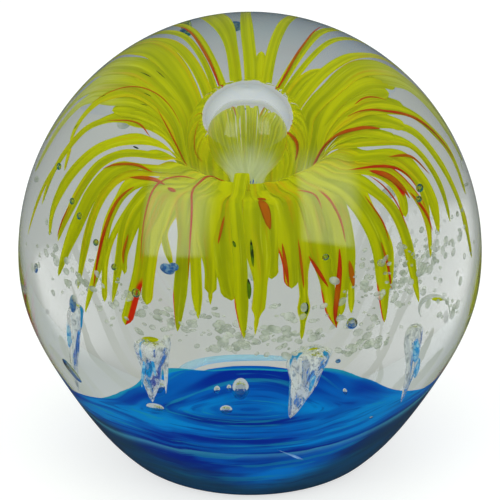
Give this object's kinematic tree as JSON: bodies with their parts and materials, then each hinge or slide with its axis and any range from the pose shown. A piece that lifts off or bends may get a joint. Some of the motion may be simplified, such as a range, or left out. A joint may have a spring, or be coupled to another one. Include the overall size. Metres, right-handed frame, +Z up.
{
  "type": "decorative glass ball",
  "caption": "Solid clear glass ball on a flat ground foot, with a drooping yellow glass flower, air bubbles and a blue glass bed sealed inside; stands on a table or shelf as an ornament.",
  "frame": {"origin": "middle of the flat ground foot, on the surface that the ball stands on", "axes": "+Z up along the axis that the ball is turned about; -Y faces the viewer"},
  "size_m": [0.09, 0.09, 0.0878],
  "materials": {
    "clear_glass": "fire-polished, clear and colourless, with trapped air bubbles",
    "yellow_glass": "drawn threads and petals of lime yellow glass, streaked lengthwise, sealed in the ball",
    "red_glass": "drawn threads of orange-red glass, sealed in the ball",
    "blue_glass": "swirled blue and turquoise glass, sealed in the foot of the ball",
    "white_frit": "fine crushed glass and seed bubbles, sealed in the ball"
  },
  "bodies": {
    "root": {"glass_ball": "clear_glass"}
  },
  "joints": []
}
